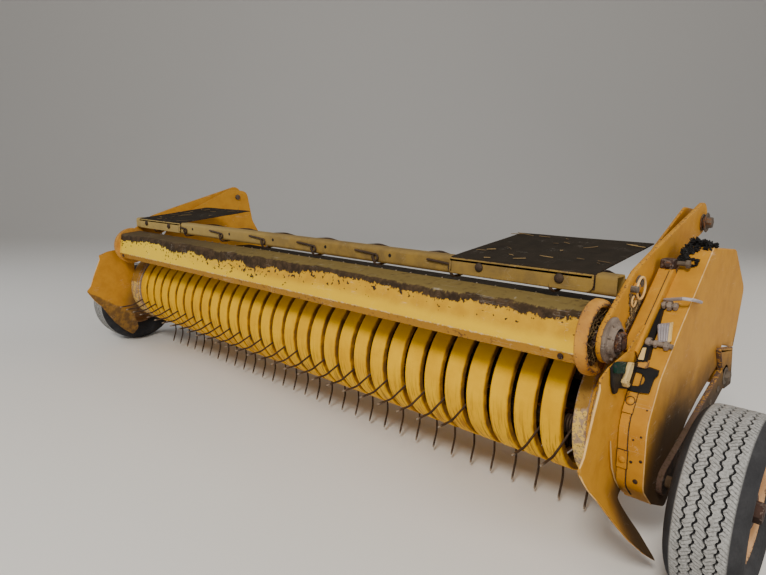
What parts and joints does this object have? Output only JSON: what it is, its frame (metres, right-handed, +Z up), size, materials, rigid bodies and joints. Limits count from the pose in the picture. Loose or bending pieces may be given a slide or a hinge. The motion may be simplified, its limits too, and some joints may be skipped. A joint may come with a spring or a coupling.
{
  "type": "round baler pickup",
  "caption": "Tined hay pickup with stripper bands, hinged wind guard, side dividers, chain case and two gauge wheels, hung from a round baler by its rear hinge.",
  "frame": {"origin": "on the axis of the rear hinge that hangs the pickup, half way across", "axes": "+X to the machine's left, +Y to its back, +Z up"},
  "size_m": [2.742, 0.934, 0.7429],
  "materials": {
    "band_plastic": "smooth, saturated yellow, a little dusty",
    "yellow_paint": "gloss paint, scuffed and dusty",
    "worn_paint": "pale worn paint with chips and rust",
    "orange_paint": "orange paint, rusty at its edges",
    "dusty_paint": "paint under streaked dust",
    "grey_casting": "rough cast, grey",
    "rusty_steel": "rusted bare steel",
    "spring_steel": "dark spring wire, worn bright at tips",
    "dark_steel": "dark and dusty",
    "zinc_steel": "dull plated steel",
    "tyre_rubber": "dusty ribbed rubber"
  },
  "bodies": {
    "frame": {"back_sheet": "dusty_paint", "bottom_rail": "yellow_paint", "chain_case": "yellow_paint", "divider_left": "yellow_paint", "divider_right": "yellow_paint", "end_band_left": "worn_paint", "end_band_right": "worn_paint", "end_sheet_left": "yellow_paint", "end_sheet_right": "yellow_paint", "feed_deck": "yellow_paint", "front_band_left": "worn_paint", "front_band_right": "worn_paint", "guard_pin_left": "zinc_steel", "guard_pin_right": "zinc_steel", "hinge_boss_left": "yellow_paint", "hinge_boss_right": "yellow_paint", "main_beam": "yellow_paint", "reel_bearing_left": "grey_casting", "reel_bearing_right": "grey_casting", "side_post": "yellow_paint", "stripper_bands": "band_plastic", "top_rail": "yellow_paint", "wheel_arm_left": "yellow_paint", "wheel_arm_right": "yellow_paint", "wheel_bracket_left": "yellow_paint", "wheel_bracket_right": "yellow_paint"},
    "reel": {"reel_discs": "dark_steel", "reel_shaft": "dark_steel", "tine_bars": "dark_steel", "tine_row_1": "spring_steel", "tine_row_2": "spring_steel", "tine_row_3": "spring_steel", "tine_row_4": "spring_steel", "tine_row_5": "spring_steel"},
    "wind_guard": {"crossbar": "yellow_paint", "end_cup_left": "orange_paint", "end_cup_right": "orange_paint", "guard_arm_left": "yellow_paint", "guard_arm_right": "yellow_paint", "guard_clamp_left": "grey_casting", "guard_clamp_right": "grey_casting", "guard_rods": "spring_steel", "guard_shaft_left": "rusty_steel", "guard_shaft_right": "rusty_steel", "guard_sheet": "worn_paint", "guide_plate_left": "dusty_paint", "guide_plate_right": "dusty_paint"},
    "wheel_left": {"tyre_left": "tyre_rubber", "rim_left": "orange_paint"},
    "wheel_right": {"tyre_right": "tyre_rubber", "rim_right": "orange_paint"}
  },
  "joints": [
    {"name": "reel_turn", "type": "hinge", "parent": "frame", "child": "reel", "pos_m": [0, -0.52, -0.04], "axis": [1, 0, 0], "continuous": true},
    {"name": "guard_lift", "type": "hinge", "parent": "frame", "child": "wind_guard", "pos_m": [0, -0.147, 0.371], "axis": [-1, 0, 0], "range_deg": [0, 35]},
    {"name": "wheel_left_turn", "type": "hinge", "parent": "frame", "child": "wheel_left", "pos_m": [1.306, -0.594, -0.138], "axis": [1, 0, 0], "continuous": true},
    {"name": "wheel_right_turn", "type": "hinge", "parent": "frame", "child": "wheel_right", "pos_m": [-1.306, -0.594, -0.138], "axis": [1, 0, 0], "continuous": true}
  ]
}
